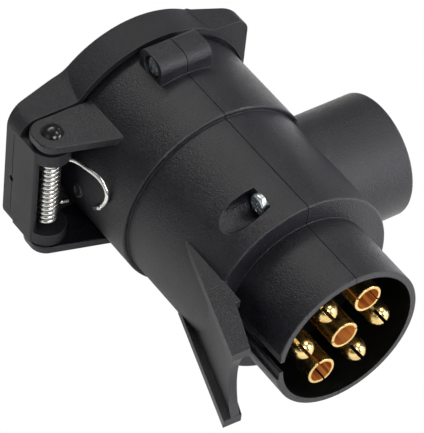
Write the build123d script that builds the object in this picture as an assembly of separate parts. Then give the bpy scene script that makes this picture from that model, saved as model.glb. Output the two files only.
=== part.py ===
from build123d import *
import os
from math import cos, radians, sin, sqrt

# Trailer wiring adaptor: 7-pin plug at +X, 13-pin socket under a sprung lid at -X.
# Millimetres. The origin is the centre of the plug's seat face, +X points out of the plug,
# +Y points along the side stub and +Z is up. The two housing shells meet on the plane y = 0.

# ---- driving dimensions -------------------------------------------------------------------
PLUG_R = 21.0                 # outside of the plug shroud (42 mm plug)
PLUG_LENGTH = 21.2            # shroud length in front of the seat face
SHROUD_WALL = 1.8
FRONT_R = 27.0                # barrel behind the seat face
REAR_R = 28.3                 # socket end of the barrel
STEP_X = -36.2                # where the barrel changes radius
COLLAR_X = -66.2              # where the barrel steps down under the lid
COLLAR_R = 26.3
MOUTH_X = -73.5               # rim of the socket mouth
MOUTH_R = 23.0                # inside of the socket mouth
WALL = 2.7                    # wall of the hollow middle of the barrel
SEAM_GAP = 0.12               # gap between the two shells
EDGE_ROUND = 0.6              # rounding of the barrel's step and seat edges

STUB_X = -28.5                # side stub
STUB_R = 17.0
STUB_END_Y = 44.9
STUB_WALL = 2.6
STUB_ROOT_Y = 5.0
STUB_EDGE_ROUND = 1.0

BOSS_X = (-63.2, -53.4)       # screw block that bridges the seam at the socket end
BOSS_Y = (-7.9, 7.4)
BOSS_TOP = 33.8
BOSS_ROUND = 3.0

SCREW_HEAD_R = 2.8
SCREW_HEAD_HEIGHT = 1.6
SCREW_SHANK_R = 1.45
SCREW_HEAD_ROUND = 0.7
SCREW_SHANK_LENGTH = 11.5
SCREW_CROSS = (1.8, 0.4, 1.0) # half length, half width and depth of the cross recess
SCREW_HOLE_SLACK = 0.15       # clearance round the shank in the shell under the head
REAR_SCREW = (-58.0, 30.0)    # x and |z| of the screws in the screw blocks
REAR_SCREW_SEAT_Y = -5.6
REAR_COUNTERBORE_R = 3.2
FRONT_SCREW = (-9.3, 23.9)    # x and |z| of the screws behind the seat face
FRONT_SCREW_SEAT_Y = -7.2
FRONT_COUNTERBORE_R = 4.3
FRONT_SCREW_POST_R = 4.6
FRONT_SCREW_POST_REACH = 18.0  # how far the posts reach from the seam

HINGE_X = -59.8               # lid hinge axis, parallel to Z
HINGE_Y = -35.6
HINGE_PIN_R = 1.6
UPPER_EAR_Z = (16.6, 19.1)
LOWER_EAR_Z = (-18.8, -16.5)
EAR_BACK_X = -65.4
EAR_END_Y = -40.8
EAR_FRONT_X = (-49.0, -55.3)  # front edge of the ear at the barrel and at its free end
EAR_ROOT_Y = -19.5
EAR_ROUND = 4.5
EAR_EDGE_ROUND = 0.5

FIN_HALF_HEIGHT = 12.9        # retention fin, I-shaped in section
FIN_BAR = 2.2
FIN_START = (-16.1, -24.0)    # outer edge of the fin where it leaves the barrel
FIN_END = (21.2, -35.8)       # outer edge of the fin at its tip
FIN_TIP_INNER = (21.4, -30.6) # inner edge of the bars at the tip
FIN_STEP = (7.2, -23.7)       # step in the bars' inner edge
FIN_STEP_DEPTH = 1.4
FIN_ROOT_Y = -22.6            # how deep the fin is rooted in the barrel
FIN_SEAT_GAP_Y = -23.4        # inner edge of the bars next to the seat face
FIN_GROOVE_X = (0.4, 0.65)    # fine groove across the bars at the seat face
FIN_GROOVE_DEPTH = 0.2
FIN_WEB_RECESS = 2.0
FIN_WEB = 2.6
FIN_NOTCH_R = 15.0            # hollow curve of the web's free end
FIN_NOTCH_DEPTH = 4.3

KEY_SLOT_WIDTH = 3.6          # slot in the shroud on the -Y side
KEY_SLOT_X = 4.0
KEY_GROOVE_WIDTH = 8.4        # shallow outer groove around the slot
KEY_GROOVE_DEPTH = 0.8

DIMPLE = (-57.2, -2.7)        # x and z of the small round pad behind the lid spring
DIMPLE_PAD_R = 2.0
DIMPLE_R = 1.2
DIMPLE_HEIGHT = 0.3

CONTACT_CIRCLE_R = 11.5       # six plug contacts on a circle, one in the middle
TUBE_R = 3.9
TUBE_BORE_R = 3.1
TUBE_TIP_X = 20.1
TUBE_SLIT = 0.45
TUBE_LEAD_IN = 0.2
PIN_R = 3.0
PIN_ROOT_R = 3.4              # thicker part of the pin inside the carrier
PIN_DOME_X = 18.1             # centre of the pin's round end
PIN_SLOT = 0.9
PIN_SLOT_DEPTH = 6.0
TUBE_ANGLES = (60, 240)       # degrees from +Y towards +Z
PIN_ANGLES = (0, 120, 180, 300)
CENTRE_TUBE_SLIT_ANGLE = 11.5 # directions of the slits and slots across the plug face
UPPER_TUBE_SLIT_ANGLE = -26
LOWER_TUBE_SLIT_ANGLE = 109.5
PIN_SLOT_ANGLE = -55

CARRIER_FACE_X = 2.0          # front face of the plug contact carrier
CARRIER_BACK_X = -8.0
CARRIER_BODY_R = 17.5
CARRIER_FACE_GAP = 0.1        # gap between the carrier's front and the shroud
FLANGE_GAP = 0.2              # gap between the carriers' flanges and the barrel
CARRIER_FLANGE_X = (-4.6, -2.2)
CARRIER_FLANGE_R = 22.9
CARRIER_RIB_X = (-6.6, -4.6)  # shell rib that holds the flange
CARRIER_RIB_R = 20.0

SOCKET_FLOOR_X = -55.0        # socket carrier flange and the rib behind it
SOCKET_FLANGE_R = 25.0
SOCKET_FLANGE_BACK_X = -51.0
SOCKET_RIB_X = -49.0
SOCKET_RIB_R = 21.0
SOCKET_CORE_R = 17.5
SOCKET_CORE_X = -70.5
SOCKET_BACK_X = -47.0
SOCKET_CORE_ROUND = 0.8
SLEEVE_R = 2.1
SLEEVE_BORE_R = 1.5
SLEEVE_TIP_X = -70.2
SLEEVE_BORE_END_X = -56.0
OUTER_SLEEVES = (8, 13.2)     # count and circle radius
INNER_SLEEVES = (5, 6.3)

PLUG_TAIL_X = -13.0           # inner ends of the solder tails
PLUG_TAIL_R = 1.7
PLUG_COLLAR = 0.7             # how far the collars stand out round the contacts
SOCKET_TAIL_X = -42.0
SOCKET_TAIL_R = 1.5
SOCKET_COLLAR = 0.6
COLLAR_LENGTH = 1.1
CUP_DEPTH = 2.5
WIRE_R = 0.9
WIRE_END_GAP = 0.3            # gap between a wire's end and the bottom of its cup
WIRE_LEAD = 4.0               # straight part at each end of a wire
FIT = 0.02                    # radial clearance of parts that are fixed in their holes
SLACK = 0.05                  # clearance of trapped faces
PIN_FIT = 0.06                # radial running clearance of the lid on its pin

LID_FACE_X = -77.0            # outside of the lid
LID_RIM_X = -65.8
LID_R = (29.7, 31.0)          # outside of the round lid at its face and at its rim
LID_BORE_R = 27.6
LID_MOUTH_R = 29.2            # wider bore at the rim, around the step of the barrel
LID_MOUTH_X = -67.2
LID_FLOOR = 2.4
LID_EDGE_ROUND = 1.0
TAB_Y = 28.0                  # finger tab on the +Y side
TAB_HALF_Z = 25.6
TAB_ROUND = 4.5
TAB_SLANT_Y = 13.5            # where the back starts to slant towards the tab's edge
TAB_THIN_X = -70.0            # back of the tab at its free edge
LUG_Y = -41.3                 # hinge lug on the -Y side
LUG_HALF_Z = 19.2
LUG_ROUND = 5.0
LUG_SLANT_Y = -23.6
LUG_THIN_X = -71.8
LUG_PLATE = 2.5
LUG_BLEND = 9.0               # hollow curve where the lug leaves the round lid
LUG_WALL = 1.8                # wall that carries both knuckles past the coil
LUG_WALL_END_X = -58.2
LUG_POCKET_HALF_Z = 11.7
LUG_SCORE_X = -68.4           # score line down the lug's outer face
LUG_SCORE = 0.3
LUG_SCORE_HALF_Z = 14.0
LUG_NOTCH_X = (-69.2, -67.6)  # small notch across the score line
LUG_NOTCH_Z = (-2.5, -1.0)
LUG_NOTCH_DEPTH = 0.7

KNUCKLE_R = 5.3
UPPER_KNUCKLE_Z = (11.7, 15.2)
LOWER_KNUCKLE_Z = (-16.2, -12.7)

HINGE_HEAD_R = 3.0
HINGE_HEAD_HEIGHT = 1.8
HINGE_TAIL_R = 2.2
HINGE_TAIL_HEIGHT = 0.8

GASKET_R = (22.6, 26.6)
GASKET_THICKNESS = 1.0

SPRING_WIRE_R = 0.6
SPRING_MEAN_R = 2.35
SPRING_PITCH = 1.5
SPRING_TURNS = 14.5
SPRING_BOTTOM_Z = -10.9
SPRING_TOUCH = 0.75           # distance of the arm's centre line from the barrel at its hook


# ---- helpers ------------------------------------------------------------------------------
def round_corners(face, corners):
    """Round the corners of a flat face; corners is a list of (point, radius)."""
    for point, radius in corners:
        vertex = face.vertices().sort_by_distance(point)[0]
        face = fillet(vertex, radius)
    return face


def turned(profile, rounds=()):
    """Solid of revolution about the X axis from a list of (x, radius) corners."""
    outline = [(profile[0][0], 0)] + list(profile) + [(profile[-1][0], 0)]
    face = make_face(Polyline(*outline, close=True))
    return revolve(round_corners(face, rounds), Axis.X)


def rod(radius, start, end):
    """Round bar between two points."""
    along = Vector(*end) - Vector(*start)
    plane = Plane(origin=start, z_dir=along)
    return extrude(plane * Circle(radius), along.length)


def rod_x(radius, x_range, y=0.0, z=0.0):
    """Round bar parallel to the X axis."""
    return rod(radius, (min(x_range), y, z), (max(x_range), y, z))


def block(low, high):
    """Box between two opposite corners."""
    size = [b - a for a, b in zip(low, high)]
    return Pos(*low) * Box(*size, align=(Align.MIN, Align.MIN, Align.MIN))


def plate(points, z_range, rounds=()):
    """Flat plate with an XY outline between two heights."""
    face = round_corners(make_face(Polyline(*points, close=True)), rounds)
    return Pos(0, 0, min(z_range)) * extrude(face, abs(z_range[1] - z_range[0]))


def along_y(points, y_range, rounds=()):
    """Prism with an XZ outline between two y values."""
    low, high = min(y_range), max(y_range)
    face = round_corners(make_face(Polyline(*points, close=True)), rounds)
    return Plane(origin=(0, low, 0), x_dir=(1, 0, 0), z_dir=(0, -1, 0)) * extrude(face, low - high)


def on_circle(radius, angle):
    """The (y, z) of a point on a circle about the X axis, angle in degrees from +Y."""
    return radius * cos(radians(angle)), radius * sin(radians(angle))


def screw_places():
    """Each screw's x, z, seat, counterbore radius and where the counterbore starts."""
    for side in (1, -1):
        yield REAR_SCREW[0], side * REAR_SCREW[1], REAR_SCREW_SEAT_Y, REAR_COUNTERBORE_R, BOSS_Y[0]
        yield FRONT_SCREW[0], side * FRONT_SCREW[1], FRONT_SCREW_SEAT_Y, FRONT_COUNTERBORE_R, -FRONT_R


# ---- housing shells -----------------------------------------------------------------------
def barrel_outside():
    """Outside of the barrel and the plug shroud."""
    profile = [
        (MOUTH_X, COLLAR_R),
        (COLLAR_X, COLLAR_R),
        (COLLAR_X, REAR_R),
        (STEP_X, REAR_R),
        (STEP_X, FRONT_R),
        (0, FRONT_R),
        (0, PLUG_R),
        (PLUG_LENGTH, PLUG_R),
    ]
    rounds = [
        ((STEP_X, REAR_R), EDGE_ROUND),
        ((0, FRONT_R), EDGE_ROUND),
        ((PLUG_LENGTH, PLUG_R), EDGE_ROUND / 2),
        ((MOUTH_X, COLLAR_R), EDGE_ROUND),
    ]
    return turned(profile, rounds)


def barrel_hollow():
    """Everything inside the barrel: mouth, carrier seats, wiring space and plug shroud."""
    flange_room = CARRIER_FLANGE_R + FLANGE_GAP
    socket_room = SOCKET_FLANGE_R + FLANGE_GAP
    profile = [
        (MOUTH_X - 1, MOUTH_R),
        (SOCKET_FLOOR_X, MOUTH_R),
        (SOCKET_FLOOR_X, socket_room),
        (SOCKET_FLANGE_BACK_X, socket_room),
        (SOCKET_FLANGE_BACK_X, SOCKET_RIB_R),
        (SOCKET_RIB_X, SOCKET_RIB_R),
        (SOCKET_RIB_X, FRONT_R - WALL),
        (CARRIER_RIB_X[0], FRONT_R - WALL),
        (CARRIER_RIB_X[0], CARRIER_RIB_R),
        (CARRIER_RIB_X[1], CARRIER_RIB_R),
        (CARRIER_RIB_X[1], flange_room),
        (CARRIER_FLANGE_X[1], flange_room),
        (CARRIER_FLANGE_X[1], PLUG_R - SHROUD_WALL),
        (PLUG_LENGTH + 1, PLUG_R - SHROUD_WALL),
    ]
    return turned(profile)


def screw_block(side):
    """Block across the seam that carries a rear screw."""
    base = side * (REAR_R - 2.5)
    top = side * BOSS_TOP
    points = [(BOSS_X[0], base), (BOSS_X[1], base), (BOSS_X[1], top), (BOSS_X[0], top)]
    rounds = [((x, top), BOSS_ROUND) for x in BOSS_X]
    return along_y(points, BOSS_Y, rounds)


def front_screw_posts(outside):
    """Posts inside the barrel around the front screws."""
    x, z = FRONT_SCREW
    reach = FRONT_SCREW_POST_REACH
    posts = [rod(FRONT_SCREW_POST_R, (x, -reach, side * z), (x, reach, side * z)) for side in (1, -1)]
    return (posts[0] + posts[1]) & outside


def ear(z_range):
    """Hinge ear: a flat tongue with rounded outer corners around the hinge axis."""
    corners = [
        (EAR_BACK_X, EAR_ROOT_Y),
        (EAR_FRONT_X[0], EAR_ROOT_Y),
        (EAR_FRONT_X[1], EAR_END_Y),
        (EAR_BACK_X, EAR_END_Y),
    ]
    tongue = plate(corners, z_range, [(corners[2], EAR_ROUND), (corners[3], EAR_ROUND)])
    flat_faces = tongue.faces().filter_by(Axis.Z)
    tongue = fillet(flat_faces.edges(), EAR_EDGE_ROUND)
    low, high = (HINGE_X, HINGE_Y, z_range[0] - 1), (HINGE_X, HINGE_Y, z_range[1] + 1)
    return tongue - rod(HINGE_PIN_R + FIT, low, high)


def fin():
    """Retention fin: two bars joined by a recessed web, flaring away from the plug shroud."""
    slope = (FIN_END[1] - FIN_START[1]) / (FIN_END[0] - FIN_START[0])
    bar_outline = [
        FIN_START,
        FIN_END,
        FIN_TIP_INNER,
        (FIN_STEP[0], FIN_STEP[1] - FIN_STEP_DEPTH),
        FIN_STEP,
        (FIN_GROOVE_X[1], FIN_SEAT_GAP_Y),
        (0, FIN_ROOT_Y),
        (FIN_START[0], FIN_ROOT_Y),
    ]
    inner_z = FIN_HALF_HEIGHT - FIN_BAR
    bars = plate(bar_outline, (inner_z, FIN_HALF_HEIGHT)) + plate(bar_outline, (-FIN_HALF_HEIGHT, -inner_z))
    outer_y = [y + FIN_WEB_RECESS for y in (FIN_START[1], FIN_END[1])]
    web_outline = [
        (FIN_START[0], outer_y[0]),
        (FIN_END[0], outer_y[1]),
        (FIN_END[0], outer_y[1] + FIN_WEB),
        (FIN_START[0], outer_y[0] + FIN_WEB),
    ]
    web = plate(web_outline, (-inner_z, inner_z))
    notch_x = FIN_END[0] - FIN_NOTCH_DEPTH + FIN_NOTCH_R
    notch = rod(FIN_NOTCH_R, (notch_x, FIN_END[1] - 5, 0), (notch_x, FIN_TIP_INNER[1] + 5, 0))
    groove_y = FIN_START[1] + slope * (FIN_GROOVE_X[0] - FIN_START[0])
    groove_z = FIN_HALF_HEIGHT - FIN_GROOVE_DEPTH
    groove = block((FIN_GROOVE_X[0], groove_y, groove_z), (FIN_GROOVE_X[1], FIN_ROOT_Y, FIN_HALF_HEIGHT + 1))
    return bars + (web - notch) - groove


def key_groove():
    """Shallow flat-bottomed groove along the outside of the shroud's -Y side."""
    half_width = KEY_GROOVE_WIDTH / 2
    bottom_y = -PLUG_R + KEY_GROOVE_DEPTH
    return block((0, -PLUG_R - 1, -half_width), (PLUG_LENGTH + 1, bottom_y, half_width))


def key_slot():
    """Slot through the shroud wall in the middle of the groove, open at the rim."""
    half_width = KEY_SLOT_WIDTH / 2
    inside_y = -PLUG_R + SHROUD_WALL + 1
    return block((KEY_SLOT_X, -PLUG_R - 1, -half_width), (PLUG_LENGTH + 1, inside_y, half_width))


def dimple_pad():
    """Small round pad on the barrel behind the lid spring."""
    x, z = DIMPLE
    top_y = -REAR_R - DIMPLE_HEIGHT
    pad = rod(DIMPLE_PAD_R, (x, top_y, z), (x, -REAR_R + 2, z))
    return pad - rod(DIMPLE_R, (x, top_y - 1, z), (x, -REAR_R + 0.1, z))


def housing():
    """Both shells as one body, before they are split at the seam."""
    outside = barrel_outside()
    hollow = barrel_hollow()
    body = outside - key_groove() - hollow
    body -= key_slot()
    body += screw_block(1) + screw_block(-1)
    body += ear(UPPER_EAR_Z) - hollow
    body += ear(LOWER_EAR_Z) - hollow
    body += fin() - hollow
    body += dimple_pad()
    stub = rod(STUB_R, (STUB_X, STUB_ROOT_Y, 0), (STUB_X, STUB_END_Y, 0))
    stub = fillet(stub.edges().filter_by(GeomType.CIRCLE).sort_by(Axis.Y)[-1], STUB_EDGE_ROUND)
    body += stub - hollow
    body -= rod(STUB_R - STUB_WALL, (STUB_X, STUB_ROOT_Y, 0), (STUB_X, STUB_END_Y - STUB_WALL, 0))
    body += front_screw_posts(outside)
    for x, z, seat, counterbore, start_y in screw_places():
        body -= rod(counterbore, (x, start_y, z), (x, seat, z))
        body -= rod(SCREW_SHANK_R + SCREW_HOLE_SLACK, (x, seat - 1, z), (x, 0, z))
        body -= rod(SCREW_SHANK_R + FIT, (x, 0, z), (x, seat + SCREW_SHANK_LENGTH + 0.5, z))
    return body


def half(body, side):
    """One shell: the part of the body on the chosen side of the seam."""
    near = SEAM_GAP / 2
    y_range = (near, 80) if side > 0 else (-80, -near)
    return body & block((-100, y_range[0], -60), (60, y_range[1], 60))


def housing_screws():
    """Four pan-head screws with a cross recess, heads towards -Y."""
    screws = []
    for x, z, seat, _, _ in screw_places():
        top = seat - SCREW_HEAD_HEIGHT
        head = rod(SCREW_HEAD_R, (x, top, z), (x, seat, z))
        head = fillet(head.edges().filter_by(GeomType.CIRCLE).sort_by(Axis.Y)[0], SCREW_HEAD_ROUND)
        shank = rod(SCREW_SHANK_R, (x, seat, z), (x, seat + SCREW_SHANK_LENGTH, z))
        arm, width, depth = SCREW_CROSS
        cross = block((x - arm, top - 1, z - width), (x + arm, top + depth, z + width))
        cross += block((x - width, top - 1, z - arm), (x + width, top + depth, z + arm))
        screws.append(head + shank - cross)
    return Compound(children=screws)


# ---- lid ----------------------------------------------------------------------------------
def lid_outline():
    """Round lid face with the squared finger tab and the hinge lug blended into it, in YZ."""
    radius = LID_R[0]
    disc = Face(Wire(Edge.make_circle(radius)))
    tab_corners = [(0, -TAB_HALF_Z), (TAB_Y, -TAB_HALF_Z), (TAB_Y, TAB_HALF_Z), (0, TAB_HALF_Z)]
    lug_corners = [(LUG_Y, -LUG_HALF_Z), (0, -LUG_HALF_Z), (0, LUG_HALF_Z), (LUG_Y, LUG_HALF_Z)]
    tab = make_face(Polyline(*tab_corners, close=True))
    lug = make_face(Polyline(*lug_corners, close=True))
    face = (disc + tab + lug).faces()[0]
    corners = []
    for side in (1, -1):
        lug_join = (-sqrt(radius ** 2 - LUG_HALF_Z ** 2), side * LUG_HALF_Z)
        corners += [(lug_join, LUG_BLEND), ((LUG_Y, side * LUG_HALF_Z), LUG_ROUND)]
        corners += [((TAB_Y, side * TAB_HALF_Z), TAB_ROUND)]
    return round_corners(face, corners)


def slanted_back(y_from, y_to, x_to):
    """Wedge that thins a tab towards its free edge and leaves the round lid whole."""
    beyond = y_to + (4 if y_to > y_from else -4)
    slope = (x_to - LID_FACE_X) / (y_to - y_from)
    outside_x = LID_FACE_X - 5
    wedge = plate(
        [
            (outside_x, y_from),
            (LID_FACE_X, y_from),
            (LID_FACE_X + slope * (beyond - y_from), beyond),
            (outside_x, beyond),
        ],
        (-40, 40),
    )
    return wedge - rod_x(LID_R[0], (outside_x - 1, LID_RIM_X))


def knuckle(z_range):
    """Lid knuckle: a round eye about the hinge pin, carried by the lug."""
    low, high = ((HINGE_X, HINGE_Y, z) for z in z_range)
    neck = block((LID_RIM_X - 1, LUG_Y, z_range[0]), (HINGE_X, HINGE_Y + KNUCKLE_R, z_range[1]))
    return rod(KNUCKLE_R, low, high) + neck


def lug_wall():
    """Wall along the outside of the lug that joins the knuckles, with a rounded free edge."""
    inner_y = LUG_Y + LUG_WALL
    back_x = LID_RIM_X - 1
    points = [(back_x, LUG_Y), (LUG_WALL_END_X, LUG_Y), (LUG_WALL_END_X, inner_y), (back_x, inner_y)]
    rounds = [(point, LUG_WALL / 2 - SLACK) for point in points[1:3]]
    return plate(points, (LOWER_KNUCKLE_Z[0], UPPER_KNUCKLE_Z[1]), rounds)


def lug_marks():
    """Score line down the lug's outer face and the small notch across it."""
    score_y = LUG_Y + LUG_SCORE
    score = block(
        (LUG_SCORE_X, LUG_Y - 1, -LUG_SCORE_HALF_Z),
        (LUG_SCORE_X + LUG_SCORE, score_y, LUG_SCORE_HALF_Z),
    )
    notch = block(
        (LUG_NOTCH_X[0], LUG_Y - 1, LUG_NOTCH_Z[0]),
        (LUG_NOTCH_X[1], LUG_Y + LUG_NOTCH_DEPTH, LUG_NOTCH_Z[1]),
    )
    return score + notch


def lid():
    """Round cap with a squared finger tab on +Y and a hinge lug on -Y."""
    depth = LID_RIM_X - LID_FACE_X
    plane = Plane(origin=(LID_FACE_X, 0, 0), x_dir=(0, 1, 0), z_dir=(1, 0, 0))
    body = plane * extrude(lid_outline(), depth)
    body = fillet(body.faces().sort_by(Axis.X)[0].edges(), LID_EDGE_ROUND)
    skirt_x = LID_FACE_X + LID_EDGE_ROUND
    body += turned([(skirt_x, LID_R[0]), (LID_RIM_X, LID_R[1])])
    body -= slanted_back(TAB_SLANT_Y, TAB_Y, TAB_THIN_X)
    body -= slanted_back(LUG_SLANT_Y, LUG_Y, LUG_THIN_X)
    body -= block((LID_FACE_X - 1, TAB_Y, -40), (LID_RIM_X + 1, TAB_Y + 10, 40))
    pocket_low = (LUG_THIN_X + LUG_PLATE, LUG_Y + LUG_WALL, -LUG_POCKET_HALF_Z)
    body -= block(pocket_low, (LID_RIM_X + 1, -LID_R[0], LUG_POCKET_HALF_Z))
    body += knuckle(UPPER_KNUCKLE_Z)
    body += knuckle(LOWER_KNUCKLE_Z)
    body += lug_wall()
    body -= rod_x(LID_BORE_R, (LID_FACE_X + LID_FLOOR, LID_RIM_X + 1))
    body -= rod_x(LID_MOUTH_R, (LID_MOUTH_X, HINGE_X + KNUCKLE_R + 1))
    body -= rod(HINGE_PIN_R + PIN_FIT, (HINGE_X, HINGE_Y, -25), (HINGE_X, HINGE_Y, 25))
    return body - lug_marks()


def lid_gasket():
    """Rubber ring in the lid that presses on the socket's rim."""
    seat_x = LID_FACE_X + LID_FLOOR
    ring_x = (seat_x, seat_x + GASKET_THICKNESS)
    return rod_x(GASKET_R[1], ring_x) - rod_x(GASKET_R[0], ring_x)


def lid_hinge_pin():
    """Hinge pin with a domed head above the upper ear and a riveted lower end."""
    top = UPPER_EAR_Z[1]
    bottom = LOWER_EAR_Z[0]
    tail_end = bottom - HINGE_TAIL_HEIGHT
    shank = rod(HINGE_PIN_R, (HINGE_X, HINGE_Y, tail_end), (HINGE_X, HINGE_Y, top + 0.5))
    dome_r = (HINGE_HEAD_R ** 2 + HINGE_HEAD_HEIGHT ** 2) / (2 * HINGE_HEAD_HEIGHT)
    dome = Pos(HINGE_X, HINGE_Y, top + HINGE_HEAD_HEIGHT - dome_r) * Sphere(dome_r)
    head = dome & rod(dome_r, (HINGE_X, HINGE_Y, top), (HINGE_X, HINGE_Y, top + dome_r))
    tail = rod(HINGE_TAIL_R, (HINGE_X, HINGE_Y, tail_end), (HINGE_X, HINGE_Y, bottom))
    return shank + head + tail


def on_barrel(x, z, clear):
    """Point beside the barrel on its -Y side, a clearance away from the surface."""
    radius = REAR_R + clear
    return x, -sqrt(radius * radius - z * z), z


def wire_along(path, radius):
    """Round wire along a path."""
    section = Plane(origin=path @ 0, z_dir=path % 0) * Circle(radius)
    return sweep(section, path=path)


def lid_spring():
    """Torsion spring: a coil on the hinge pin, a hooked arm and a short leg."""
    height = SPRING_PITCH * SPRING_TURNS
    foot = Pos(HINGE_X, HINGE_Y, SPRING_BOTTOM_Z) * Rot(0, 0, 180)
    helix = foot * Helix(SPRING_PITCH, height, SPRING_MEAN_R)
    section = Plane(origin=helix @ 0, z_dir=helix % 0) * Circle(SPRING_WIRE_R)
    coil = sweep(section, path=helix, is_frenet=True)
    coil_start, coil_end = helix @ 0, helix @ 1
    arm_path = Spline(
        (coil_end.X, coil_end.Y, coil_end.Z),
        on_barrel(-55.7, 10.7, 4.8),
        on_barrel(-51.5, 10.7, 3.5),
        on_barrel(-47.3, 9.9, 2.1),
        on_barrel(-44.4, 7.3, 1.0),
        on_barrel(-44.3, 4.6, SPRING_TOUCH),
        on_barrel(-45.5, 2.1, SPRING_TOUCH),
        on_barrel(-48.2, -0.9, SPRING_TOUCH),
        tangents=[(0, 1, 0), (-1, 0.3, -1)],
    )
    spring = coil + wire_along(arm_path, SPRING_WIRE_R)
    leg_points = [
        (coil_start.X, coil_start.Y, coil_start.Z),
        (coil_start.X, HINGE_Y + 3.0, -9.9),
        (HINGE_X - 0.4, HINGE_Y + 4.6, -8.0),
        (HINGE_X - 0.2, HINGE_Y + 6.4, -8.2),
    ]
    for start, end in zip(leg_points, leg_points[1:]):
        spring += rod(SPRING_WIRE_R, start, end) + Pos(*start) * Sphere(SPRING_WIRE_R)
    return spring


# ---- plug contacts ------------------------------------------------------------------------
def plug_contact_places():
    """Each plug contact's kind and its angle, with None for the middle tube."""
    return [("tube", None)] + [("tube", a) for a in TUBE_ANGLES] + [("pin", a) for a in PIN_ANGLES]


def contact_centre(angle):
    """The (y, z) of a plug contact."""
    return (0.0, 0.0) if angle is None else on_circle(CONTACT_CIRCLE_R, angle)


def plug_contact_carrier():
    """Insulating disc that holds the seven plug contacts."""
    front_r = PLUG_R - SHROUD_WALL - CARRIER_FACE_GAP
    carrier = turned([
        (CARRIER_BACK_X, CARRIER_BODY_R),
        (CARRIER_FLANGE_X[0] + SLACK, CARRIER_BODY_R),
        (CARRIER_FLANGE_X[0] + SLACK, CARRIER_FLANGE_R),
        (CARRIER_FLANGE_X[1] - SLACK, CARRIER_FLANGE_R),
        (CARRIER_FLANGE_X[1] - SLACK, front_r),
        (CARRIER_FACE_X, front_r),
    ])
    for kind, angle in plug_contact_places():
        y, z = contact_centre(angle)
        radius = TUBE_R if kind == "tube" else PIN_ROOT_R
        carrier -= rod_x(radius + FIT, (CARRIER_BACK_X - 1, CARRIER_FACE_X + 1), y, z)
    return carrier


def solder_tail(y, z, collar_x, collar_r, tail_r, end_x, direction):
    """Collar, tail and wire cup at the inner end of a contact."""
    collar = rod_x(collar_r, (collar_x, collar_x + direction * COLLAR_LENGTH), y, z)
    tail = rod_x(tail_r, (collar_x, end_x), y, z)
    cup = rod_x(WIRE_R + FIT, (end_x - direction * CUP_DEPTH, end_x + direction), y, z)
    return collar + tail - cup


def slit_box(width, half_span, x_range, y, z, angle):
    """Thin box along X, turned about a contact's own axis."""
    cut = block((min(x_range), -half_span, -width / 2), (max(x_range), half_span, width / 2))
    return Pos(0, y, z) * Rot(angle, 0, 0) * cut


def plug_tube(angle, slit_angle):
    """Contact tube, split lengthwise by two thin slits."""
    y, z = contact_centre(angle)
    tube = rod_x(TUBE_R, (CARRIER_BACK_X - SLACK, TUBE_TIP_X), y, z)
    tube = fillet(tube.edges().filter_by(GeomType.CIRCLE).sort_by(Axis.X)[-1], TUBE_LEAD_IN)
    tube += solder_tail(y, z, CARRIER_BACK_X - SLACK, TUBE_R + PLUG_COLLAR, PLUG_TAIL_R, PLUG_TAIL_X, -1)
    tube -= rod_x(TUBE_BORE_R, (CARRIER_FACE_X + 1.0, TUBE_TIP_X + 1), y, z)
    return tube - slit_box(TUBE_SLIT, TUBE_R + 1, (CARRIER_FACE_X + 4, TUBE_TIP_X + 1), y, z, slit_angle)


def plug_pin(angle):
    """Contact pin with a round, slotted end."""
    y, z = contact_centre(angle)
    root_x = CARRIER_BACK_X - SLACK
    pin = rod_x(PIN_ROOT_R, (root_x, CARRIER_FACE_X), y, z) + rod_x(PIN_R, (root_x, PIN_DOME_X), y, z)
    pin += Pos(PIN_DOME_X, y, z) * Sphere(PIN_R)
    pin += solder_tail(y, z, root_x, PIN_ROOT_R + PLUG_COLLAR, PLUG_TAIL_R, PLUG_TAIL_X, -1)
    tip_x = PIN_DOME_X + PIN_R
    return pin - slit_box(PIN_SLOT, PIN_R + 1, (tip_x - PIN_SLOT_DEPTH, tip_x + 1), y, z, PIN_SLOT_ANGLE)


# ---- socket contacts ----------------------------------------------------------------------
def sleeve_places():
    """The (y, z) of the thirteen socket contacts: an outer ring, then an inner ring."""
    places = []
    for count, radius in (OUTER_SLEEVES, INNER_SLEEVES):
        start = 0 if count % 2 == 0 else 90
        places += [on_circle(radius, start + 360 / count * i) for i in range(count)]
    return places


def socket_contact_carrier():
    """Insulating core that holds the thirteen socket sleeves."""
    carrier = turned([
        (SOCKET_CORE_X, SOCKET_CORE_R),
        (SOCKET_FLOOR_X + SLACK, SOCKET_CORE_R),
        (SOCKET_FLOOR_X + SLACK, SOCKET_FLANGE_R),
        (SOCKET_FLANGE_BACK_X - SLACK, SOCKET_FLANGE_R),
        (SOCKET_FLANGE_BACK_X - SLACK, SOCKET_CORE_R),
        (SOCKET_BACK_X, SOCKET_CORE_R),
    ], [((SOCKET_CORE_X, SOCKET_CORE_R), SOCKET_CORE_ROUND)])
    for y, z in sleeve_places():
        carrier -= rod_x(SLEEVE_R + FIT, (SOCKET_CORE_X - 1, SOCKET_BACK_X + 1), y, z)
    return carrier


def socket_sleeve(y, z):
    """Contact sleeve with a blind bore open towards the lid."""
    sleeve = rod_x(SLEEVE_R, (SLEEVE_TIP_X, SOCKET_BACK_X + SLACK), y, z)
    collar_r = SLEEVE_R + SOCKET_COLLAR
    sleeve += solder_tail(y, z, SOCKET_BACK_X + SLACK, collar_r, SOCKET_TAIL_R, SOCKET_TAIL_X, 1)
    return sleeve - rod_x(SLEEVE_BORE_R, (SLEEVE_TIP_X - 1, SLEEVE_BORE_END_X), y, z)


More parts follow.
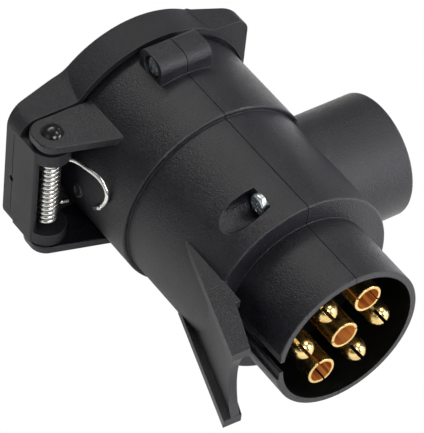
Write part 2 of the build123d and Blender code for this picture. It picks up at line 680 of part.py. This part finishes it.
# ---- internal wires -----------------------------------------------------------------------
def internal_wire(plug_place, socket_place):
    """Insulated wire from a plug contact's cup to a socket contact's cup."""
    inset = CUP_DEPTH - WIRE_END_GAP
    start = (PLUG_TAIL_X + inset, *plug_place)
    end = (SOCKET_TAIL_X - inset, *socket_place)
    path = Spline(
        start,
        (start[0] - WIRE_LEAD, *plug_place),
        (end[0] + WIRE_LEAD, *socket_place),
        end,
        tangents=[(-1, 0, 0), (-1, 0, 0)],
    )
    return wire_along(path, WIRE_R)


def wire_routes():
    """Plug contact to socket contact, routed so that no two wires cross."""
    socket_angle = {60: 45, 240: 225, 0: 0, 120: 135, 180: 180, 300: 315}
    routes = []
    for kind, angle in plug_contact_places():
        inner, outer = INNER_SLEEVES[1], OUTER_SLEEVES[1]
        target = on_circle(inner, 90) if angle is None else on_circle(outer, socket_angle[angle])
        routes.append((contact_centre(angle), target))
    return routes


# ---- export -------------------------------------------------------------------------------
def all_parts():
    """Every node's name and solid."""
    body = housing()
    parts = {
        "left_housing_shell": half(body, -1),
        "right_housing_shell": half(body, 1),
        "housing_screws": housing_screws(),
        "socket_lid": lid(),
        "lid_gasket": lid_gasket(),
        "lid_hinge_pin": lid_hinge_pin(),
        "lid_spring": lid_spring(),
        "plug_contact_carrier": plug_contact_carrier(),
        "plug_tube_centre": plug_tube(None, CENTRE_TUBE_SLIT_ANGLE),
        "plug_tube_upper": plug_tube(TUBE_ANGLES[0], UPPER_TUBE_SLIT_ANGLE),
        "plug_tube_lower": plug_tube(TUBE_ANGLES[1], LOWER_TUBE_SLIT_ANGLE),
        "socket_contact_carrier": socket_contact_carrier(),
    }
    for number, angle in enumerate(PIN_ANGLES, 1):
        parts[f"plug_pin_{number}"] = plug_pin(angle)
    for number, place in enumerate(sleeve_places(), 1):
        parts[f"socket_sleeve_{number:02d}"] = socket_sleeve(*place)
    for number, route in enumerate(wire_routes(), 1):
        parts[f"internal_wire_{number}"] = internal_wire(*route)
    return parts


os.makedirs("parts", exist_ok=True)
for name, shape in all_parts().items():
    export_step(shape, f"parts/{name}.step")
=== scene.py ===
from math import cos, radians, sin

import bpy
from mathutils import Matrix, Vector

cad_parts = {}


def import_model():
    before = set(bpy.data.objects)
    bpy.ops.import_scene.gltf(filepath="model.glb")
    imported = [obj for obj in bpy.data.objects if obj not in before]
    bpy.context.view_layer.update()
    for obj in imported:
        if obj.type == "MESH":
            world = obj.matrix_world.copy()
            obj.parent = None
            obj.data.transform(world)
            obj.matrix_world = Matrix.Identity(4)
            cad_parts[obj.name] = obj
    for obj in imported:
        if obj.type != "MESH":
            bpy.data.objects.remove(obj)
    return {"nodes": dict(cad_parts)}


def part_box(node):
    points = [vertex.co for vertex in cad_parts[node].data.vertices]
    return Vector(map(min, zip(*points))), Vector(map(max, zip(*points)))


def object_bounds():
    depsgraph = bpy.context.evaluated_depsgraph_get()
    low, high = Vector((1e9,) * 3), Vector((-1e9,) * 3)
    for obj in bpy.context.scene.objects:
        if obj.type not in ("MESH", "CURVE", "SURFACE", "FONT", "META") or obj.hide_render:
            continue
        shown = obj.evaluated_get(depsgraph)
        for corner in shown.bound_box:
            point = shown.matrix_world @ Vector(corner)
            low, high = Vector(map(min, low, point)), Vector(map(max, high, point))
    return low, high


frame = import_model()
cad_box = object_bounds()
nodes = frame["nodes"]
MM = 0.001

# ---- looks --------------------------------------------------------------------------------
# black for the shells' seam and for the painted shade inside the plug shroud
SEAM_AND_SHADE_BLACK = (0.0015, 0.0015, 0.0015)
SHEEN, SEAM_AND_SHADE_SHEEN = 0.5, 0.12      # specular level of plain plastic and of its seam and painted-shade places
EDGE_HIGHLIGHT_TONE = (0.1, 0.1, 0.105)   # painted edge highlight: a paler tone on the plastic's edges
EDGE_HIGHLIGHT_STRENGTH = 0.7                    # how strongly that painted highlight shows
SEAM_HALF = 0.13 * MM              # half width of the dark line where the two shells meet
CAVITY_R = 19.3 * MM               # inside of the plug shroud, in front of its floor, where shade is painted black
CAVITY_START = 1.0 * MM
BORE_R = 3.25 * MM                 # inside of the plug's contact tubes, which gets a painted reflected-light tint and a painted glow
BORE_START = 3.0 * MM
BORE_END = 20.0 * MM
# painted reflected light: warm tint inside the contact tubes
BORE_REFLECTION_TINT = (0.62, 0.3, 0.09)
BORE_DULLNESS = 0.12               # added to the brass's roughness
# painted glow inside the contact tubes, standing in for light bounced down the bore
PAINTED_BORE_GLOW_TINT = (0.8, 0.33, 0.08)
PAINTED_BORE_GLOW = 0.3

# ---- view and light, in metres, radians and watts -----------------------------------------
VIEW_AZIMUTH = radians(51.01)
VIEW_ELEVATION = radians(44.73)
VIEW_ROLL = radians(6.7)
VIEW_DISTANCE = 0.8106
VIEW_TARGET = Vector((-0.0223, -0.0117, 0.0101))
LENS = 270.5                       # mm
FLOOR_HALF = 6.0
FLOOR_DROP = 0.5 * MM              # gap between the object and the floor
FLOOR_GREY = 0.85
FLOOR_GLOW = 0.25
WORLD_LIGHT = 0.1
WHITE = (1, 1, 1)
WARM = (1.0, 0.98, 0.93)
COOL = (0.94, 0.96, 1.0)
COOLER = (0.9, 0.93, 1.0)


# ---- node material helpers ----------------------------------------------------------------
class Shader:
    """Small wrapper that adds and joins shader nodes."""

    MIX_A, MIX_B, MIX_RESULT = 6, 7, 2   # the Mix node's sockets when it mixes colours

    def __init__(self, name):
        self.material = bpy.data.materials.new(name)
        self.material.use_nodes = True
        self.tree = self.material.node_tree
        self.bsdf = self.tree.nodes["Principled BSDF"]
        self.position = self.add("ShaderNodeTexCoord").outputs["Object"]

    def add(self, kind, **settings):
        node = self.tree.nodes.new(kind)
        for key, value in settings.items():
            setattr(node, key, value)
        return node

    def join(self, source, target):
        self.tree.links.new(source, target)

    def set(self, **inputs):
        for key, value in inputs.items():
            self.bsdf.inputs[key.replace("_", " ")].default_value = value

    def noise(self, scale, detail=2.0, roughness=0.5, stretch=None):
        """Noise texture, drawn out along the X axis when a stretch is given."""
        node = self.add("ShaderNodeTexNoise")
        node.inputs["Scale"].default_value = scale
        node.inputs["Detail"].default_value = detail
        node.inputs["Roughness"].default_value = roughness
        place = self.position
        if stretch is not None:
            squeeze = self.add("ShaderNodeVectorMath", operation="MULTIPLY")
            squeeze.inputs[1].default_value = (1 / stretch, 1, 1)
            self.join(place, squeeze.inputs[0])
            place = squeeze.outputs["Vector"]
        self.join(place, node.inputs["Vector"])
        return node.outputs["Fac"]

    def ramp(self, value, low, high, from_min=0.3, from_max=0.7):
        """Map a value from one range to another."""
        node = self.add("ShaderNodeMapRange")
        node.inputs["From Min"].default_value = from_min
        node.inputs["From Max"].default_value = from_max
        node.inputs["To Min"].default_value = low
        node.inputs["To Max"].default_value = high
        self.join(value, node.inputs["Value"])
        return node.outputs["Result"]

    def mix_colour(self, factor, colour_a, colour_b):
        """Blend between two fixed colours."""
        node = self.add("ShaderNodeMix", data_type="RGBA")
        self.join(factor, node.inputs["Factor"])
        node.inputs[self.MIX_A].default_value = (*colour_a, 1)
        node.inputs[self.MIX_B].default_value = (*colour_b, 1)
        return node.outputs[self.MIX_RESULT]

    def mix_between(self, factor, source, colour):
        """Blend from a node's colour to a fixed one."""
        node = self.add("ShaderNodeMix", data_type="RGBA")
        self.join(factor, node.inputs["Factor"])
        self.join(source, node.inputs[self.MIX_A])
        node.inputs[self.MIX_B].default_value = (*colour, 1)
        return node.outputs[self.MIX_RESULT]

    def axes(self):
        """The x, y and z of the shaded point in the object's own frame."""
        node = self.add("ShaderNodeSeparateXYZ")
        self.join(self.position, node.inputs[0])
        return node.outputs

    def maths(self, operation, a, b=None):
        """One arithmetic step on node outputs or plain numbers."""
        node = self.add("ShaderNodeMath", operation=operation)
        for slot, value in zip(node.inputs, (a, b)):
            if value is None:
                continue
            if isinstance(value, (int, float)):
                slot.default_value = value
            else:
                self.join(value, slot)
        return node.outputs["Value"]

    def weighted(self, a, b, share):
        """Sum of two outputs, the first with the given share."""
        return self.maths("ADD", self.maths("MULTIPLY", a, share), self.maths("MULTIPLY", b, 1 - share))

    def bump(self, height, distance, strength=1.0, normal=None):
        """Normal from a height, on top of another normal if one is given."""
        node = self.add("ShaderNodeBump")
        node.inputs["Strength"].default_value = strength
        node.inputs["Distance"].default_value = distance
        self.join(height, node.inputs["Height"])
        if normal is not None:
            self.join(normal, node.inputs["Normal"])
        return node.outputs["Normal"]

    def soft_edges(self, radius):
        """Normal that rounds sharp edges by a small radius."""
        node = self.add("ShaderNodeBevel", samples=4)
        node.inputs["Radius"].default_value = radius
        return node.outputs["Normal"]

    def edge_mask(self, radius):
        """One on sharp outside and inside edges and nought on flat faces."""
        rounded = self.soft_edges(radius)
        true = self.add("ShaderNodeNewGeometry").outputs["True Normal"]
        dot = self.add("ShaderNodeVectorMath", operation="DOT_PRODUCT")
        self.join(rounded, dot.inputs[0])
        self.join(true, dot.inputs[1])
        return self.ramp(dot.outputs["Value"], 1, 0, 0.86, 0.985)

    def within(self, radius, start_x, centre=(0.0, 0.0)):
        """One inside a cylinder along +X that starts at start_x; centre is its y and z."""
        x, y, z = self.axes()
        across = [self.maths("POWER", self.maths("SUBTRACT", v, c), 2) for v, c in zip((y, z), centre)]
        around = self.maths("SQRT", self.maths("ADD", *across))
        near_axis = self.maths("LESS_THAN", around, radius)
        return self.maths("MULTIPLY", near_axis, self.maths("GREATER_THAN", x, start_x))

    def colour(self, source):
        self.join(source, self.bsdf.inputs["Base Color"])

    def rough(self, source):
        self.join(source, self.bsdf.inputs["Roughness"])

    def normal(self, source):
        self.join(source, self.bsdf.inputs["Normal"])


def moulded_plastic(name, grain=1900.0, grain_depth=0.3, dark=(0.0015, 0.0015, 0.0034),
                    light=(0.014, 0.0138, 0.0195), rough=(0.28, 0.48), edge=0.24, shell=False):
    """Black moulded plastic with a fine spark-eroded grain and slightly rounded edges that carry a painted
    highlight.

    A shell is blacker along its seam, and inside the plug shroud it carries painted shade: black with a
    lower sheen.
    """
    s = Shader(name)
    fine = s.noise(grain, 3.0, 0.7)
    broad = s.noise(140.0, 3.0, 0.55)
    colour = s.mix_colour(s.ramp(s.weighted(fine, broad, 0.8), 0, 1, 0.44, 0.62), dark, light)
    # painted highlight: a paler tone mixed in along sharp outside and inside edges
    edge_highlight = s.maths("MULTIPLY", s.edge_mask(edge * MM), EDGE_HIGHLIGHT_STRENGTH)
    colour_with_painted_light = s.mix_between(edge_highlight, colour, EDGE_HIGHLIGHT_TONE)
    s.rough(s.ramp(s.weighted(fine, broad, 0.6), *rough))
    s.normal(s.bump(fine, grain_depth * MM, 0.8, s.soft_edges(edge * MM)))
    if shell:
        # painted shade: the inside of the shroud, a recess, is painted black with less sheen
        painted_shade_cavity = s.within(CAVITY_R, CAVITY_START)
        seam = s.maths("LESS_THAN", s.maths("ABSOLUTE", s.axes()[1]), SEAM_HALF)
        seam_and_shade_place = s.maths("MAXIMUM", painted_shade_cavity, seam)
        colour_with_painted_light = s.mix_between(seam_and_shade_place, colour_with_painted_light, SEAM_AND_SHADE_BLACK)
        sheen = s.ramp(seam_and_shade_place, SHEEN, SEAM_AND_SHADE_SHEEN, 0, 1)
        s.join(sheen, s.bsdf.inputs["Specular IOR Level"])
    s.colour(colour_with_painted_light)
    return s.material


def brass(name, colour=(0.9, 0.66, 0.27), bore=None):
    """Turned brass with faint staining.

    bore is the y and z of a tube whose inside is duller, with a redder painted reflected-light tint and
    faint streaks of painted glow that grow towards its outer end.
    """
    s = Shader(name)
    stain = s.noise(420.0, 4.0, 0.6)
    fine = s.noise(2600.0)
    darker = tuple(c * 0.66 for c in colour)
    base = s.mix_colour(s.ramp(stain, 0, 1, 0.35, 0.75), colour, darker)
    rough = s.ramp(stain, 0.16, 0.34)
    s.normal(s.bump(fine, 0.006 * MM, 0.5, s.soft_edges(0.12 * MM)))
    s.set(Metallic=1.0)
    if bore is not None:
        # painted light inside the bore: a reflected-light tint and an emission glow
        inner = s.within(BORE_R, BORE_START, bore)
        base = s.mix_between(inner, base, BORE_REFLECTION_TINT)
        rough = s.maths("ADD", rough, s.maths("MULTIPLY", inner, BORE_DULLNESS))
        s.set(Emission_Color=(*PAINTED_BORE_GLOW_TINT, 1))
        glow_towards_outer_end = s.ramp(s.axes()[0], 0.15, 1, BORE_START, BORE_END)
        painted_glow_streak = s.ramp(s.noise(900.0, stretch=12.0), 0.1, 1, 0.4, 0.62)
        painted_glow_place = s.maths("MULTIPLY", inner, glow_towards_outer_end)
        glow = s.maths("MULTIPLY", painted_glow_place, s.maths("MULTIPLY", painted_glow_streak, PAINTED_BORE_GLOW))
        s.join(glow, s.bsdf.inputs["Emission Strength"])
    s.colour(base)
    s.rough(rough)
    return s.material


def steel(name, colour, rough=(0.18, 0.34), edge=0.1):
    """Plated steel with small variation in sheen."""
    s = Shader(name)
    patch = s.noise(700.0, 3.0, 0.6)
    s.colour(s.mix_colour(s.ramp(patch, 0, 1), colour, tuple(c * 0.8 for c in colour)))
    s.rough(s.ramp(patch, *rough))
    s.normal(s.bump(s.noise(3000.0), 0.004 * MM, 0.5, s.soft_edges(edge * MM)))
    s.set(Metallic=1.0)
    return s.material


def gloss_black(name):
    """Glossy black head of the hinge pin."""
    s = Shader(name)
    patch = s.noise(500.0, 3.0)
    s.colour(s.mix_colour(s.ramp(patch, 0, 1), (0.008, 0.008, 0.008), (0.016, 0.016, 0.017)))
    s.rough(s.ramp(patch, 0.1, 0.2))
    s.normal(s.bump(s.noise(900.0, 2.0), 0.12 * MM, 0.6, s.soft_edges(0.15 * MM)))
    s.set(Specular_IOR_Level=0.3)
    return s.material


def rubber(name):
    """Matt black rubber."""
    s = Shader(name)
    fine = s.noise(2400.0, 3.0)
    s.colour(s.mix_colour(s.ramp(fine, 0, 1), (0.012, 0.012, 0.012), (0.02, 0.02, 0.02)))
    s.rough(s.ramp(fine, 0.7, 0.85))
    s.normal(s.bump(fine, 0.02 * MM, 0.5))
    return s.material


def insulation(name, colour):
    """Satin PVC wire insulation."""
    s = Shader(name)
    fine = s.noise(1800.0, 2.0)
    s.colour(s.mix_colour(s.ramp(fine, 0, 1), colour, tuple(c * 0.75 for c in colour)))
    s.rough(s.ramp(fine, 0.3, 0.45))
    s.normal(s.bump(fine, 0.01 * MM, 0.5))
    return s.material


# ---- finish of the CAD nodes --------------------------------------------------------------
def paint(names, material):
    """Give the named CAD nodes one material."""
    for name in names:
        slots = nodes[name].material_slots
        for slot in slots:
            slot.material = material
        if not slots:
            nodes[name].data.materials.append(material)


def named(start):
    """Every CAD node whose name begins with the given words."""
    return [n for n in nodes if n.startswith(start)]


paint(["left_housing_shell", "right_housing_shell"], moulded_plastic("housing_plastic", shell=True))
paint(["socket_lid"], moulded_plastic("lid_plastic", rough=(0.5, 0.66)))
paint(["plug_contact_carrier", "socket_contact_carrier"], moulded_plastic("carrier_plastic", 1500.0, 0.03))
paint(["lid_gasket"], rubber("gasket_rubber"))
paint(["lid_hinge_pin"], gloss_black("pin_black"))
paint(["lid_spring"], steel("spring_steel", (0.8, 0.79, 0.76)))
paint(["housing_screws"], steel("screw_zinc", (0.82, 0.87, 0.9), (0.2, 0.36)))
paint(named("plug_pin") + named("socket_sleeve"), brass("contact_brass"))
for tube in named("plug_tube"):
    low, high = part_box(tube)
    centre = (low + high) / 2
    paint([tube], brass("brass_" + tube, bore=(centre.y, centre.z)))
paint(named("internal_wire"), insulation("wire_insulation", (0.3, 0.05, 0.03)))


# ---- camera, light and floor --------------------------------------------------------------
def camera():
    """Long-lens camera above the plug end, looking back along the body."""
    back = Vector((
        sin(VIEW_AZIMUTH) * cos(VIEW_ELEVATION),
        -cos(VIEW_AZIMUTH) * cos(VIEW_ELEVATION),
        sin(VIEW_ELEVATION),
    ))
    data = bpy.data.cameras.new("camera")
    data.lens = LENS
    data.clip_end = 20.0
    cam = bpy.data.objects.new("camera", data)
    level = (-back).to_track_quat("-Z", "Y").to_matrix().to_4x4()
    place = Matrix.Translation(VIEW_TARGET + back * VIEW_DISTANCE)
    cam.matrix_world = place @ level @ Matrix.Rotation(VIEW_ROLL, 4, "Z")
    bpy.context.scene.collection.objects.link(cam)
    bpy.context.scene.camera = cam


def soft_box(name, direction, distance, size, power, colour=WHITE):
    """Rectangular area light that faces the object from the given direction."""
    data = bpy.data.lights.new(name, "AREA")
    data.shape = "RECTANGLE"
    data.size, data.size_y = size
    data.energy = power
    data.color = colour
    light = bpy.data.objects.new(name, data)
    aim = Vector(direction).normalized()
    light.location = VIEW_TARGET + aim * distance
    light.rotation_mode = "QUATERNION"
    light.rotation_quaternion = (-aim).to_track_quat("-Z", "Y")
    bpy.context.scene.collection.objects.link(light)


def floor():
    """Wide pale floor just under the object; it looks evenly white and glows a little."""
    height = cad_box[0].z - FLOOR_DROP
    mesh = bpy.data.meshes.new("floor")
    signs = [(-1, -1), (1, -1), (1, 1), (-1, 1)]
    corners = [(a * FLOOR_HALF, b * FLOOR_HALF, height) for a, b in signs]
    mesh.from_pydata(corners, [], [(0, 1, 2, 3)])
    obj = bpy.data.objects.new("floor", mesh)
    bpy.context.scene.collection.objects.link(obj)
    s = Shader("pale_floor")
    s.set(Base_Color=(FLOOR_GREY, FLOOR_GREY, FLOOR_GREY, 1), Roughness=0.9)
    s.set(Emission_Color=(*WHITE, 1), Emission_Strength=FLOOR_GLOW)
    glow = s.add("ShaderNodeEmission")
    glow.inputs["Color"].default_value = (*WHITE, 1)
    seen = s.add("ShaderNodeLightPath")
    blend = s.add("ShaderNodeMixShader")
    s.join(seen.outputs["Is Camera Ray"], blend.inputs[0])
    s.join(s.bsdf.outputs[0], blend.inputs[1])
    s.join(glow.outputs[0], blend.inputs[2])
    s.join(blend.outputs[0], s.tree.nodes["Material Output"].inputs["Surface"])
    mesh.materials.append(s.material)


def world():
    """Even soft light from all round."""
    scene = bpy.context.scene
    scene.world = bpy.data.worlds.new("studio")
    scene.world.use_nodes = True
    background = scene.world.node_tree.nodes["Background"]
    background.inputs["Color"].default_value = (*WHITE, 1)
    background.inputs["Strength"].default_value = WORLD_LIGHT
    scene.view_settings.view_transform = "Standard"


camera()
world()
floor()
soft_box("overhead", (-0.45, 0.15, 0.85), 0.5, (0.42, 0.36), 0.48)
soft_box("overhead_small", (-0.58, 0.0, 0.81), 0.45, (0.3, 0.1), 0.7, WARM)
soft_box("high_right", (0.33, 0.45, 0.81), 0.6, (0.2, 0.2), 1.1, WARM)
soft_box("right", (-0.1, 1.0, 0.25), 0.7, (0.35, 0.5), 1.0, COOL)
soft_box("low_left", (-0.3, -1.0, -0.02), 0.7, (0.5, 0.3), 0.08, COOLER)
soft_box("left", (0.1, -0.9, 0.5), 0.7, (0.35, 0.35), 0.4, COOLER)
soft_box("front", (1.0, -0.15, 0.75), 0.8, (0.3, 0.3), 3.3)
soft_box("front_right", (0.8, 0.8, 0.3), 0.8, (0.3, 0.3), 3.6, COOL)
